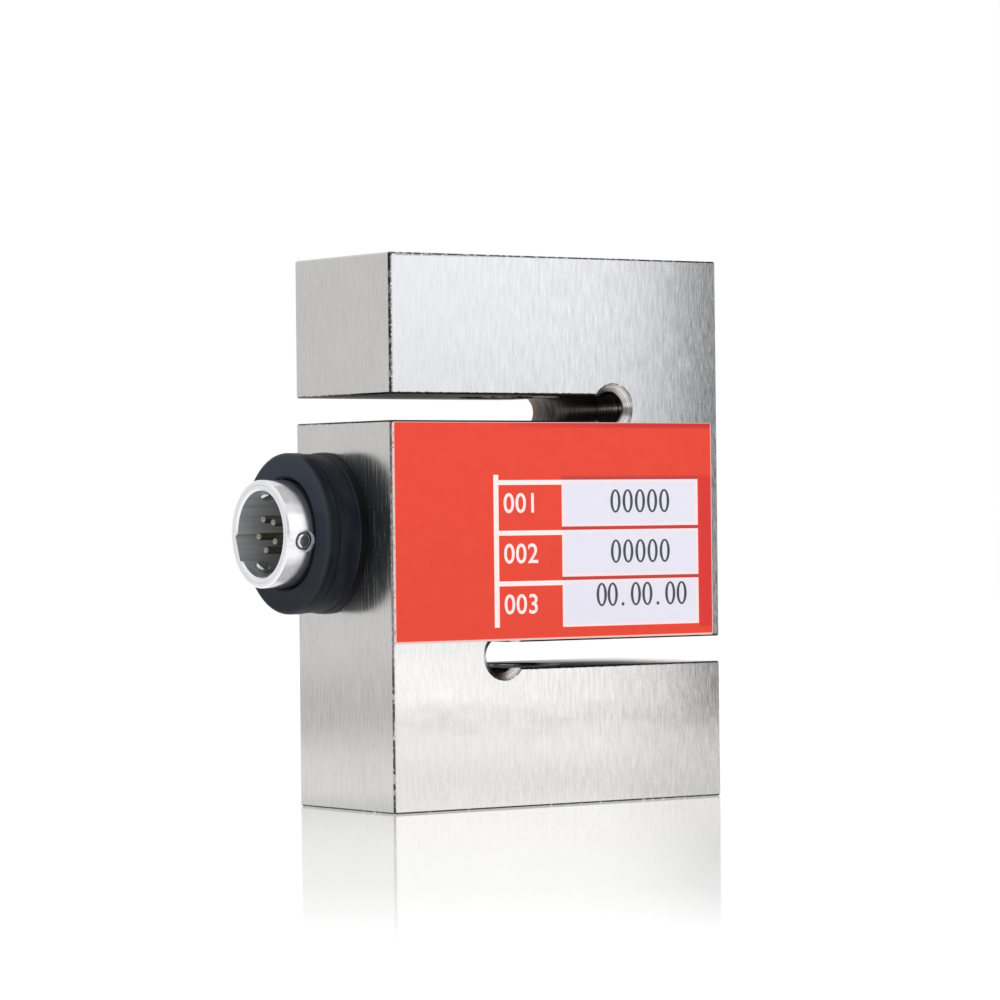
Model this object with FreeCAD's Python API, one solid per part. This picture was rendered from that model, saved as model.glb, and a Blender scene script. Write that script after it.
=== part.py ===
"""S type load cell with a bayonet connector.

The frame: the origin is on the load axis at the lower face, where the lower thread opens. +Z runs
up the load axis to the upper thread, X runs along the slots with the connector at -X, and the
label plate is on the -Y side. All sizes are in millimetres.

The sensing body is one block. Two slots, cut from opposite ends, leave an S: each ends in a
relief hole past the load axis, and the block between them carries the strain gauges in a pocket.
"""
import FreeCAD
import Part
import math
import os

V = FreeCAD.Vector
X_AXIS = V(1, 0, 0)
Y_AXIS = V(0, 1, 0)
Z_AXIS = V(0, 0, 1)

# Sensing body
BODY_WIDTH = 47.0
BODY_DEPTH = 20.0
BODY_HEIGHT = 64.0
EDGE_BREAK = 0.2

# Slots and relief holes: the upper slot is open at -X, the lower one at +X
SLOT_HEIGHT = 3.0
SLOT_PITCH = 28.7
RELIEF_REACH = 8.0
RELIEF_RADIUS = 2.0
RELIEF_CHAMFER = 0.9

# Tapped holes for the load studs, M12 x 1.75, as plain walls at the thread's outer radius
THREAD_RADIUS = 6.0
THREAD_MOUTH = 0.4

# Gauge pocket: two lobes joined by a channel, sunk from the label side
LOBE_WIDTH = 12.0
LOBE_CORNER = 3.5
END_WALL = 7.0
SLOT_WALL = 4.85
CHANNEL_HEIGHT = 6.0
POCKET_BACK_WALL = 3.1
LID_LEDGE = 1.2
LID_THICKNESS = 0.5
LID_SINK = 0.1
LID_CLEARANCE = 0.1
POTTING_THICKNESS = 3.0
POTTING_CLEARANCE = 0.15

# Label plate
LABEL_THICKNESS = 0.4
LABEL_LEFT_MARGIN = 0.2
LABEL_RIGHT_MARGIN = 1.3
LABEL_SLOT_MARGIN = 0.2
LABEL_CORNER = 0.3

# Connector, on the -X end: distances along its axis are counted outward from the end face
PORT_FROM_BACK = 5.8
COLLAR_WALL = 3.0
COLLAR_LENGTH = 5.4
COLLAR_FRONT_BAND = 1.6
COLLAR_REAR_BAND = 0.9
COLLAR_WAIST = 0.12
COLLAR_ROUND = 0.4
COLLAR_MOUTH = 0.35
COLLAR_LEDGE = 1.5
SHELL_RADIUS = 6.25
SHELL_WALL = 1.22
SHELL_REACH = 8.85
SHELL_FLOOR = 2.2
SHELL_RIM_BREAK = 0.2
NECK_STEP = 1.35
NECK_DEPTH = 4.3
NECK_WALL = 0.9
NECK_CLEARANCE = 0.1
SHELL_CLEARANCE = 0.1
PORT_FLOOR_GAP = 0.2
WIRE_HOLE_MARGIN = 0.15
KEYWAY_WIDTH = 3.3
KEYWAY_DEPTH = 0.35
KEYWAY_ANGLE = 199.0

# Face seal in the collar's back
SEAL_STEP = 1.3
SEAL_WIDTH = 1.6
SEAL_THICKNESS = 1.0
SEAL_CLEARANCE = 0.05

# Insert, its retaining ring and the contact pins
INSERT_CLEARANCE = 0.05
INSERT_BACK = 3.4
RING_THICKNESS = 0.7
RING_MARGIN = 0.35
PIN_COUNT = 5
PIN_CIRCLE = 1.9
PIN_FIRST_ANGLE = 45.0
PIN_RADIUS = 0.45
PIN_SETBACK = 0.8
PIN_CLEARANCE = 0.03
CUP_RADIUS = 0.55
CUP_BACK = 6.0

# Bayonet studs: pressed through the shell's wall, sunk outside and standing into the bore
STUD_COUNT = 3
STUD_FIRST_ANGLE = -8.0
STUD_RADIUS = 0.9
STUD_SETBACK = 2.3
STUD_SINK = 0.2
STUD_INSIDE = 0.6
STUD_DOME = 0.3
STUD_RING_RADIUS = 1.3
STUD_RING_DEPTH = 0.45
STUD_CLEARANCE = 0.02

# Gauges and wiring in the pocket
GAUGE_LENGTH = 5.0
GAUGE_WIDTH = 3.2
GAUGE_THICKNESS = 0.15
TAIL_WIDTH = 1.0
TAIL_THICKNESS = 0.35
TAIL_CHANNEL_OFFSET = 1.3
BOARD_LENGTH = 9.5
BOARD_THICKNESS = 0.8
BOARD_EDGE_GAP = 2.0
RESISTOR_LENGTH = 3.2
RESISTOR_WIDTH = 1.6
RESISTOR_HEIGHT = 0.6
RESISTOR_PITCH = 5.0
RESISTOR_INSET = 1.2
WIRE_RADIUS = 0.4
WIRE_BEND = 0.8
WIRE_PAD_INSET = 2.6
WIRE_PAD_MARGIN = 1.8
WIRE_LEAD_OUT = 0.85
WIRE_RISE = 2.6

# Places worked out from the sizes above
MID_HEIGHT = BODY_HEIGHT / 2
FRONT = -BODY_DEPTH / 2
BACK = BODY_DEPTH / 2
LEFT = -BODY_WIDTH / 2
RIGHT = BODY_WIDTH / 2
UPPER_SLOT = MID_HEIGHT + SLOT_PITCH / 2
LOWER_SLOT = MID_HEIGHT - SLOT_PITCH / 2
POCKET_FLOOR = BACK - POCKET_BACK_WALL
LID_SEAT = FRONT + LID_SINK + LID_THICKNESS
LOBE_HEIGHT = SLOT_PITCH - SLOT_HEIGHT - 2 * SLOT_WALL
LOBE_REACH = RIGHT - END_WALL - LOBE_WIDTH / 2
LOBE_LEFT = LEFT + END_WALL
PORT_DEPTH = BACK - PORT_FROM_BACK
COLLAR_BORE = SHELL_RADIUS + SHELL_CLEARANCE
COLLAR_RADIUS = COLLAR_BORE + COLLAR_WALL
SHELL_BORE = SHELL_RADIUS - SHELL_WALL
NECK_RADIUS = SHELL_RADIUS - NECK_STEP
NECK_BORE = NECK_RADIUS - NECK_WALL
SEAL_INNER = NECK_RADIUS + SEAL_STEP
RING_OPENING = PIN_CIRCLE + CUP_RADIUS + RING_MARGIN
WIRE_HOLE_RADIUS = PIN_CIRCLE + CUP_RADIUS + WIRE_HOLE_MARGIN
BOARD_LEFT = LOBE_LEFT + BOARD_EDGE_GAP
BOARD_RIGHT = BOARD_LEFT + BOARD_LENGTH
BOARD_HEIGHT = LOBE_HEIGHT - 2 * BOARD_EDGE_GAP
BOARD_FACE = POCKET_FLOOR - BOARD_THICKNESS
WIRE_PAD_PITCH = (BOARD_HEIGHT - 2 * WIRE_PAD_MARGIN) / (PIN_COUNT - 1)


def box(x0, x1, y0, y1, z0, z1):
    """A block between the given planes."""
    return Part.makeBox(x1 - x0, y1 - y0, z1 - z0, V(x0, y0, z0))


def rod(radius, start, end):
    """A round bar from one point to another."""
    run = end - start
    return Part.makeCylinder(radius, run.Length, start, run)


def port_point(outward, radius=0.0, angle=0.0):
    """A point on the connector: its distance out of the end face, and its place round the axis.

    The angle is counted counter-clockwise from the label side, looking at the connector's mouth.
    """
    turn = math.radians(angle)
    return V(
        LEFT - outward,
        PORT_DEPTH - radius * math.cos(turn),
        MID_HEIGHT + radius * math.sin(turn),
    )


def turned(profile):
    """A solid turned about the connector's axis from (outward, radius) corners."""
    corners = [V(LEFT - outward, PORT_DEPTH, MID_HEIGHT + radius) for outward, radius in profile]
    outline = Part.makePolygon(corners + corners[:1])
    return Part.Face(outline).revolve(port_point(0), X_AXIS, 360)


def rounded_block(half_width, half_height, centre_x, y0, y1, corner):
    """A block along Y with its four long edges rounded."""
    block = box(
        centre_x - half_width,
        centre_x + half_width,
        y0,
        y1,
        MID_HEIGHT - half_height,
        MID_HEIGHT + half_height,
    )
    long_edges = [edge for edge in block.Edges if abs(edge.tangentAt(0).y) > 0.9]
    return block.makeFillet(corner, long_edges)


def dumbbell(grow, y0, y1):
    """The gauge pocket's outline, grown by a margin, as a solid between two Y planes."""
    lobes = [
        rounded_block(
            LOBE_WIDTH / 2 + grow,
            LOBE_HEIGHT / 2 + grow,
            side * LOBE_REACH,
            y0,
            y1,
            LOBE_CORNER + grow,
        )
        for side in (-1, 1)
    ]
    half_channel = CHANNEL_HEIGHT / 2 + grow
    channel = box(
        -LOBE_REACH, LOBE_REACH, y0, y1, MID_HEIGHT - half_channel, MID_HEIGHT + half_channel
    )
    return channel.multiFuse(lobes).removeSplitter()


def relief_hole(x, z):
    """A cross hole with a chamfer at both faces."""
    wide = RELIEF_RADIUS + RELIEF_CHAMFER
    hole = Part.makeCylinder(RELIEF_RADIUS, BODY_DEPTH, V(x, FRONT, z), Y_AXIS)
    front = Part.makeCone(wide, RELIEF_RADIUS, RELIEF_CHAMFER, V(x, FRONT, z), Y_AXIS)
    back = Part.makeCone(wide, RELIEF_RADIUS, RELIEF_CHAMFER, V(x, BACK, z), -Y_AXIS)
    return hole.multiFuse([front, back])


def load_thread(face_z, direction):
    """The tapped hole from a load face through its block into the slot, with a chamfered mouth."""
    face = V(0, 0, face_z)
    hole = Part.makeCylinder(THREAD_RADIUS, LOWER_SLOT, face, direction)
    mouth = Part.makeCone(THREAD_RADIUS + THREAD_MOUTH, THREAD_RADIUS, THREAD_MOUTH, face, direction)
    return hole.fuse(mouth)


def connector_port():
    """The bore for the connector's neck and the wire hole behind it."""
    floor = -(NECK_DEPTH + PORT_FLOOR_GAP)
    bore = rod(NECK_RADIUS + NECK_CLEARANCE, port_point(0), port_point(floor))
    wire_hole_end = V(-LOBE_REACH, PORT_DEPTH, MID_HEIGHT)
    wire_hole = rod(WIRE_HOLE_RADIUS, port_point(0), wire_hole_end)
    return bore.fuse(wire_hole)


def s_body():
    """The block with its slots, relief holes, tapped holes, gauge pocket and connector port."""
    block = box(LEFT, RIGHT, FRONT, BACK, 0, BODY_HEIGHT)
    half_slot = SLOT_HEIGHT / 2
    slots = [
        box(LEFT, RELIEF_REACH, FRONT, BACK, UPPER_SLOT - half_slot, UPPER_SLOT + half_slot),
        box(-RELIEF_REACH, RIGHT, FRONT, BACK, LOWER_SLOT - half_slot, LOWER_SLOT + half_slot),
    ]
    slotted = block.cut(slots)
    broken = slotted.makeChamfer(EDGE_BREAK, slotted.Edges)
    pocket = dumbbell(0, LID_SEAT, POCKET_FLOOR)
    lid_recess = dumbbell(LID_LEDGE, FRONT, LID_SEAT)
    return broken.cut([
        relief_hole(RELIEF_REACH, UPPER_SLOT),
        relief_hole(-RELIEF_REACH, LOWER_SLOT),
        load_thread(0, Z_AXIS),
        load_thread(BODY_HEIGHT, -Z_AXIS),
        pocket,
        lid_recess,
        connector_port(),
    ])


def label_plate():
    """The thin plate over the middle block's front."""
    half_height = (SLOT_PITCH - SLOT_HEIGHT) / 2 - LABEL_SLOT_MARGIN
    plate = box(
        LEFT + LABEL_LEFT_MARGIN,
        RIGHT - LABEL_RIGHT_MARGIN,
        FRONT - LABEL_THICKNESS,
        FRONT,
        MID_HEIGHT - half_height,
        MID_HEIGHT + half_height,
    )
    corners = [edge for edge in plate.Edges if abs(edge.tangentAt(0).y) > 0.9]
    return plate.makeFillet(LABEL_CORNER, corners)


def collar():
    """The moulded collar: a front band, a slight waist, a back rim, a chamfered mouth and a ledge."""
    waist = COLLAR_RADIUS - COLLAR_WAIST
    neck_hole = NECK_RADIUS + NECK_CLEARANCE
    waist_end = COLLAR_LENGTH - COLLAR_FRONT_BAND
    body = turned([
        (0, neck_hole),
        (0, COLLAR_RADIUS),
        (COLLAR_REAR_BAND, COLLAR_RADIUS),
        (COLLAR_REAR_BAND + COLLAR_WAIST, waist),
        (waist_end - COLLAR_WAIST, waist),
        (waist_end, COLLAR_RADIUS),
        (COLLAR_LENGTH, COLLAR_RADIUS),
        (COLLAR_LENGTH, COLLAR_BORE + COLLAR_MOUTH),
        (COLLAR_LENGTH - COLLAR_MOUTH, COLLAR_BORE),
        (COLLAR_LEDGE, COLLAR_BORE),
        (COLLAR_LEDGE, neck_hole),
    ])
    rims = [
        edge
        for edge in body.Edges
        if abs(edge.BoundBox.XMin - (LEFT - COLLAR_LENGTH)) < 0.01
        and edge.BoundBox.ZLength > 2 * COLLAR_BORE + 1
        and edge.BoundBox.XLength < 0.01
    ]
    seal_groove = ring(
        0,
        SEAL_THICKNESS + SEAL_CLEARANCE,
        SEAL_INNER - SEAL_CLEARANCE,
        SEAL_INNER + SEAL_WIDTH + SEAL_CLEARANCE,
    )
    return body.makeFillet(COLLAR_ROUND, rims).cut(seal_groove)


def ring(outward_from, outward_to, inner, outer):
    """A flat ring about the connector's axis."""
    return turned([
        (outward_from, inner),
        (outward_from, outer),
        (outward_to, outer),
        (outward_to, inner),
    ])


def shell():
    """The metal shell: an open cup with a neck, a keyway inside and the studs' cross holes."""
    body = turned([
        (-NECK_DEPTH, NECK_BORE),
        (-NECK_DEPTH, NECK_RADIUS),
        (COLLAR_LEDGE, NECK_RADIUS),
        (COLLAR_LEDGE, SHELL_RADIUS),
        (SHELL_REACH - SHELL_RIM_BREAK, SHELL_RADIUS),
        (SHELL_REACH, SHELL_RADIUS - SHELL_RIM_BREAK),
        (SHELL_REACH, SHELL_BORE + SHELL_RIM_BREAK),
        (SHELL_REACH - SHELL_RIM_BREAK, SHELL_BORE),
        (SHELL_FLOOR, SHELL_BORE),
        (SHELL_FLOOR, NECK_BORE),
    ])
    return body.cut([keyway()] + [stud_hole(angle) for angle in stud_angles()])


def keyway():
    """The groove along the shell's bore that sets the plug's turn."""
    half = KEYWAY_WIDTH / 2
    top = SHELL_BORE + KEYWAY_DEPTH
    groove = box(LEFT - SHELL_REACH, LEFT - SHELL_FLOOR, PORT_DEPTH - top, PORT_DEPTH,
                 MID_HEIGHT - half, MID_HEIGHT + half)
    groove.rotate(port_point(0), X_AXIS, -KEYWAY_ANGLE)
    return groove


def stud_angles():
    """The studs' places round the shell."""
    return [STUD_FIRST_ANGLE + index * 360 / STUD_COUNT for index in range(STUD_COUNT)]


def stud_hole(angle):
    """The cross hole for one stud, with the wider ring sunk round its outer end."""
    outward = SHELL_REACH - STUD_SETBACK
    axis_point = port_point(outward)
    hole = rod(STUD_RADIUS + STUD_CLEARANCE, axis_point, port_point(outward, 2 * SHELL_RADIUS, angle))
    sunk_from = port_point(outward, SHELL_RADIUS - STUD_RING_DEPTH, angle)
    sunk_ring = rod(STUD_RING_RADIUS, sunk_from, port_point(outward, 2 * SHELL_RADIUS, angle))
    return hole.fuse(sunk_ring)


def stud(angle):
    """One bayonet stud, domed at both ends."""
    outward = SHELL_REACH - STUD_SETBACK
    foot = port_point(outward, SHELL_BORE - STUD_INSIDE, angle)
    tip = port_point(outward, SHELL_RADIUS - STUD_SINK, angle)
    pin = rod(STUD_RADIUS, foot, tip)
    ends = [edge for edge in pin.Edges if edge.Curve.TypeId == "Part::GeomCircle"]
    return pin.makeFillet(STUD_DOME, ends)


def pin_angles():
    """The contact pins' places on their circle."""
    return [PIN_FIRST_ANGLE + index * 360 / PIN_COUNT for index in range(PIN_COUNT)]


def insert():
    """The insulating insert with a hole for each pin."""
    body = ring(-INSERT_BACK, SHELL_FLOOR, 0, NECK_BORE - INSERT_CLEARANCE)
    holes = [
        rod(PIN_RADIUS + PIN_CLEARANCE, port_point(-INSERT_BACK, PIN_CIRCLE, angle),
            port_point(SHELL_FLOOR, PIN_CIRCLE, angle))
        for angle in pin_angles()
    ]
    return body.cut(holes)


def retaining_ring():
    """The ring pressed in behind the insert."""
    return ring(-INSERT_BACK - RING_THICKNESS, -INSERT_BACK, RING_OPENING,
                NECK_BORE - INSERT_CLEARANCE)


def contact_pin(angle):
    """A pin with a domed tip and a solder cup behind the insert."""
    tip_centre = port_point(SHELL_REACH - PIN_SETBACK - PIN_RADIUS, PIN_CIRCLE, angle)
    cup_start = port_point(-INSERT_BACK, PIN_CIRCLE, angle)
    shaft = rod(PIN_RADIUS, cup_start, tip_centre)
    dome = Part.makeSphere(PIN_RADIUS, tip_centre)
    cup = rod(CUP_RADIUS, port_point(-CUP_BACK, PIN_CIRCLE, angle), cup_start)
    return shaft.multiFuse([dome, cup]).removeSplitter()


def gauge(side, level):
    """A strain gauge bonded to the flat of a lobe: side is -1 or 1, level -1 for low or 1 for high."""
    centre_x = side * LOBE_REACH
    flat = MID_HEIGHT + level * LOBE_HEIGHT / 2
    inner = flat - level * GAUGE_THICKNESS
    return box(centre_x - GAUGE_LENGTH / 2, centre_x + GAUGE_LENGTH / 2,
               -GAUGE_WIDTH / 2, GAUGE_WIDTH / 2, min(flat, inner), max(flat, inner))


def gauge_tail(side, level):
    """The two-core ribbon from a gauge, along its flat, down the pocket's floor to the board."""
    centre_x = side * LOBE_REACH
    x0 = centre_x - TAIL_WIDTH / 2
    x1 = centre_x + TAIL_WIDTH / 2
    flat = MID_HEIGHT + level * LOBE_HEIGHT / 2
    run_end = MID_HEIGHT + level * BOARD_HEIGHT / 2
    lane = MID_HEIGHT + level * TAIL_CHANNEL_OFFSET
    if side > 0:
        run_end = lane - level * TAIL_WIDTH / 2
    under = flat - level * TAIL_THICKNESS
    floor_face = POCKET_FLOOR - TAIL_THICKNESS
    along_flat = box(x0, x1, GAUGE_WIDTH / 2, POCKET_FLOOR, min(flat, under), max(flat, under))
    down_floor = box(x0, x1, floor_face, POCKET_FLOOR, min(flat, run_end), max(flat, run_end))
    tail = along_flat.fuse(down_floor)
    if side > 0:
        crossing = box(BOARD_RIGHT, x1, floor_face, POCKET_FLOOR,
                       lane - TAIL_WIDTH / 2, lane + TAIL_WIDTH / 2)
        tail = tail.fuse(crossing)
    return tail.removeSplitter()


def terminal_board():
    """The board on the pocket's floor, in the lobe beside the connector."""
    return box(BOARD_LEFT, BOARD_RIGHT, BOARD_FACE, POCKET_FLOOR,
               MID_HEIGHT - BOARD_HEIGHT / 2, MID_HEIGHT + BOARD_HEIGHT / 2)


def trim_resistor(level):
    """A chip resistor on the board."""
    centre_z = MID_HEIGHT + level * RESISTOR_PITCH / 2
    x1 = BOARD_RIGHT - RESISTOR_INSET
    return box(x1 - RESISTOR_LENGTH, x1, BOARD_FACE - RESISTOR_HEIGHT, BOARD_FACE,
               centre_z - RESISTOR_WIDTH / 2, centre_z + RESISTOR_WIDTH / 2)


def bent_path(points, bend):
    """Straight runs joined by tangent arcs."""
    edges = []
    start = points[0]
    for before, corner, after in zip(points, points[1:], points[2:]):
        back = (before - corner).normalize()
        ahead = (after - corner).normalize()
        half_angle = back.getAngle(ahead) / 2
        trim = bend / math.tan(half_angle)
        arc_start = corner + back * trim
        arc_end = corner + ahead * trim
        bisector = (back + ahead).normalize()
        centre = corner + bisector * (bend / math.sin(half_angle))
        arc_middle = centre - bisector * bend
        edges.append(Part.LineSegment(start, arc_start).toShape())
        edges.append(Part.Arc(arc_start, arc_middle, arc_end).toShape())
        start = arc_end
    edges.append(Part.LineSegment(start, points[-1]).toShape())
    return Part.Wire(edges)


def lead_wire(angle, pad_index):
    """A wire from a pin's solder cup, through the wire hole, to its pad on the board."""
    cup_end = port_point(-CUP_BACK, PIN_CIRCLE, angle)
    lead_out = V(LOBE_LEFT + WIRE_LEAD_OUT, cup_end.y, cup_end.z)
    pad_x = BOARD_LEFT + WIRE_PAD_INSET
    pad_z = MID_HEIGHT + (pad_index - (PIN_COUNT - 1) / 2) * WIRE_PAD_PITCH
    pad = V(pad_x, BOARD_FACE, pad_z)
    above_pad = pad - Y_AXIS * WIRE_RISE
    path = bent_path([cup_end, lead_out, above_pad, pad], WIRE_BEND)
    section = Part.Wire(Part.makeCircle(WIRE_RADIUS, cup_end, X_AXIS))
    return path.makePipeShell([section], True, False)


def pocket_lid():
    """The lid on the pocket's ledge, just under the label plate."""
    return dumbbell(LID_LEDGE - LID_CLEARANCE, FRONT + LID_SINK, LID_SEAT)


def potting_pad():
    """The potting compound under the lid."""
    return dumbbell(-POTTING_CLEARANCE, LID_SEAT, LID_SEAT + POTTING_THICKNESS)


def all_pieces():
    """Every piece by its node's name."""
    pieces = {
        "s_body": s_body(),
        "label_plate": label_plate(),
        "connector_collar": collar(),
        "connector_shell": shell(),
        "pin_insert": insert(),
        "insert_ring": retaining_ring(),
        "face_seal": ring(0, SEAL_THICKNESS, SEAL_INNER, SEAL_INNER + SEAL_WIDTH),
        "pocket_lid": pocket_lid(),
        "potting_pad": potting_pad(),
        "terminal_board": terminal_board(),
        "trim_resistor_lower": trim_resistor(-1),
        "trim_resistor_upper": trim_resistor(1),
    }
    for number, angle in enumerate(stud_angles(), start=1):
        pieces[f"bayonet_stud_{number}"] = stud(angle)
    for number, angle in enumerate(pin_angles(), start=1):
        pieces[f"contact_pin_{number}"] = contact_pin(angle)
    by_height = sorted(pin_angles(), key=lambda angle: math.sin(math.radians(angle)))
    for pad_index, angle in enumerate(by_height):
        pieces[f"lead_wire_{pad_index + 1}"] = lead_wire(angle, pad_index)
    for side, side_name in ((-1, "left"), (1, "right")):
        for level, level_name in ((-1, "lower"), (1, "upper")):
            pieces[f"strain_gauge_{side_name}_{level_name}"] = gauge(side, level)
            pieces[f"gauge_tail_{side_name}_{level_name}"] = gauge_tail(side, level)
    return pieces


os.makedirs("parts", exist_ok=True)
for name, piece in all_pieces().items():
    if len(piece.Solids) != 1 or not piece.isValid():
        raise ValueError(f"{name} is not one valid solid")
    piece.exportStep(f"parts/{name}.step")
    print(f"{name}: {piece.Volume:.2f} mm3")
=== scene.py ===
# %% [markdown]
# # An S type load cell, from frame to finished picture
#
# A load cell of this kind is one block of nickel-plated steel with two slots sawn into it from
# opposite ends, so that it looks like the letter S. A stud is screwed into its top and another into
# its bottom, and the block bends a little when they are pulled or pushed. A red plate on its front
# carries a small table, and a round connector stands out of its left end.
#
# The block and all its pieces arrive ready-made as a fixed frame, in metres, with the load axis on
# Z and the connector towards -X. Our work is everything that makes them look real: the finish of
# each piece, the screw threads, the printed figures, the light and the camera.

# %% Load the frame
import bmesh
import bpy
import math
from mathutils import Matrix, Vector


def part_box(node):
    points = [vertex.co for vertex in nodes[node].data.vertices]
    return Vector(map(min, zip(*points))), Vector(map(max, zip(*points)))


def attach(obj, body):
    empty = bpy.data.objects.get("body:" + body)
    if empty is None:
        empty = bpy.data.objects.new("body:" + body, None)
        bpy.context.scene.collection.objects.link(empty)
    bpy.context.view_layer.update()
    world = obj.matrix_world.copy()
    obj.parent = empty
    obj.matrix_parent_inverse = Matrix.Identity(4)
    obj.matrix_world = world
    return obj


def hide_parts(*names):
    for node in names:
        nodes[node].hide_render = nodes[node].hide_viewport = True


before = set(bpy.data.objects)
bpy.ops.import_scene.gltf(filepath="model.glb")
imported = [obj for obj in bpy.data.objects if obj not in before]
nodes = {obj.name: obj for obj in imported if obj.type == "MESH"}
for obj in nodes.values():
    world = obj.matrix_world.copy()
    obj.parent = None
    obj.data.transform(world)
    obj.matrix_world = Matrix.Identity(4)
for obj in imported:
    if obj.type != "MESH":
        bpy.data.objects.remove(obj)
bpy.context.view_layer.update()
MM = 0.001

# %% [markdown]
# ## The camera
#
# A long lens far away keeps the block's edges almost parallel, which is how small products are
# usually shown. A short lens nearby would make the near corner loom. The lens sees the block from
# its front left corner and from nearly the height of its middle, so the slots show light through
# them while the top face stays hidden. The camera is turned by naming the three directions of its
# own axes, because it leans sideways by half a degree and that is awkward to write as angles.

# %% Place the camera
body_low, body_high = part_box("s_body")
body_middle = (body_low + body_high) / 2
lens = bpy.data.cameras.new("long_lens")
lens.lens = 153.0
lens.sensor_width = 36.0
lens.clip_start, lens.clip_end = 0.01, 20.0
camera = bpy.data.objects.new("camera", lens)
bpy.context.scene.collection.objects.link(camera)
ahead = Vector((0.57332, 0.81932, 0.00358)).normalized()
rightward = Vector((0.81930, -0.57326, -0.01107)).normalized()
upward = rightward.cross(ahead)
camera_spot = body_middle + Vector((-290.2, -412.7, 1.88)) * MM
turned = Matrix((rightward, upward, -ahead)).transposed().to_4x4()
camera.matrix_world = Matrix.Translation(camera_spot) @ turned
bpy.context.scene.camera = camera
print("camera", round((camera_spot - body_middle).length / MM), "mm from the block's middle")

# %% [markdown]
# ## Shader maths that reads like arithmetic
#
# A material in Blender is a graph of nodes. Writing it out node by node hides the idea, so this small
# class wraps one output of a node and lets Python's own signs add the Math nodes: `1 - mask` and
# `height * 0.2 + grain` each become one or two nodes.

# %% Wrap a node's output
class Wire:
    """One output in a graph of shader nodes. The signs + - * / > < on it add Math nodes."""

    def __init__(self, graph, socket):
        self.graph = graph
        self.socket = socket

    def __add__(self, other):
        return self.graph.math("ADD", self, other)

    def __sub__(self, other):
        return self.graph.math("SUBTRACT", self, other)

    def __rsub__(self, other):
        return self.graph.math("SUBTRACT", other, self)

    def __mul__(self, other):
        return self.graph.math("MULTIPLY", self, other)

    def __truediv__(self, other):
        return self.graph.math("DIVIDE", self, other)

    def __gt__(self, other):
        return self.graph.math("GREATER_THAN", self, other)

    def __lt__(self, other):
        return self.graph.math("LESS_THAN", self, other)

    def __abs__(self):
        return self.graph.math("ABSOLUTE", self)

    __radd__ = __add__
    __rmul__ = __mul__


# %% [markdown]
# All nodes come from one method, `node`. The other methods give short names to the few kinds that the
# recipes below repeat. Patterns use Object coordinates, turned into millimetres, so a number in a
# recipe is a real size: a noise of scale 7 has grains of about a seventh of a millimetre.

# %% Add nodes to a graph
class Graph:
    """A graph of shader nodes, with short ways to add to it."""

    def __init__(self, tree):
        self.tree = tree

    def feed(self, socket, value):
        """Links a wire to a socket, or sets a plain value on it."""
        if isinstance(value, Wire):
            self.tree.links.new(value.socket, socket)
        else:
            socket.default_value = value

    def node(self, kind, settings=None, sockets=None, output=0):
        """Any node: its type, its settings, then the values or links of its sockets."""
        made = self.tree.nodes.new(kind)
        for name, value in (settings or {}).items():
            setattr(made, name, value)
        for name, value in (sockets or {}).items():
            self.feed(made.inputs[name], value)
        return Wire(self, made.outputs[output])

    def show(self, shader):
        """Makes a shader the one that the material shows."""
        self.feed(self.tree.nodes["Material Output"].inputs["Surface"], shader)

    def math(self, operation, *values, clamp=False):
        settings = {"operation": operation, "use_clamp": clamp}
        return self.node("ShaderNodeMath", settings, dict(enumerate(values)))

    def vector(self, operation, first, second, output=0):
        """Vector maths. Its number comes from output 1 and its vector from output 0."""
        return self.node("ShaderNodeVectorMath", {"operation": operation}, {0: first, 1: second}, output)

    def scaled(self, wire, share):
        """A vector or a colour times a number."""
        return self.node("ShaderNodeVectorMath", {"operation": "SCALE"}, {0: wire, "Scale": share})

    def tint(self, factor, color_a, color_b):
        """Goes from one colour to another as the factor goes from 0 to 1."""
        ends = [c if isinstance(c, Wire) else (*c, 1.0) for c in (color_a, color_b)]
        return self.node("ShaderNodeMix", {"data_type": "RGBA"}, {0: factor, 6: ends[0], 7: ends[1]}, 2)

    def between(self, factor, value_a, value_b):
        """Goes from one number to another as the factor goes from 0 to 1."""
        return self.node("ShaderNodeMix", {"data_type": "FLOAT"}, {0: factor, 2: value_a, 3: value_b})

    def place(self):
        """The point on the piece, in millimetres."""
        return self.scaled(self.node("ShaderNodeTexCoord", output="Object"), 1 / MM)

    def facing(self):
        """The direction that the surface faces."""
        return self.node("ShaderNodeNewGeometry", output="Normal")

    def axes(self, wire):
        """A vector's X, Y and Z."""
        split = self.node("ShaderNodeSeparateXYZ", sockets={0: wire}).socket.node
        return [Wire(self, split.outputs[i]) for i in range(3)]

    def point(self, x=0.0, y=0.0, z=0.0):
        """A vector from up to three numbers."""
        return self.node("ShaderNodeCombineXYZ", None, {0: x, 1: y, 2: z})

    def distance(self, across, up):
        """How far a point is from the axis where both numbers are 0."""
        return self.vector("LENGTH", self.point(across, up), (0, 0, 0), 1)

    def along(self, at, way):
        """How far a point lies in a direction."""
        return self.vector("DOT_PRODUCT", at, way, 1)

    def noise(self, at, scale, detail=2.0, stretch=(1, 1, 1)):
        """Cloudy noise from 0 to 1 with grains of 1 / scale mm, longer along an axis of small stretch."""
        pulled = self.vector("MULTIPLY", at, stretch)
        return self.node("ShaderNodeTexNoise", None, {"Vector": pulled, "Scale": scale, "Detail": detail})

    def ramp(self, value, low, high):
        """0 below low, 1 above high, and straight between."""
        return self.math("DIVIDE", value - low, high - low, clamp=True)

    def band(self, value, low, high, edge=0.03):
        """1 between low and high, fading over the edge's width, and 0 outside."""
        inward = self.math("MINIMUM", value - low, high - value)
        return self.math("ADD", inward / edge, 0.5, clamp=True)


# %% [markdown]
# A finish is a material whose graph ends in one Principled shader. The shader could be set up by hand
# for each piece, but every piece needs the same three things: a colour, a roughness and a bump.

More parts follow.
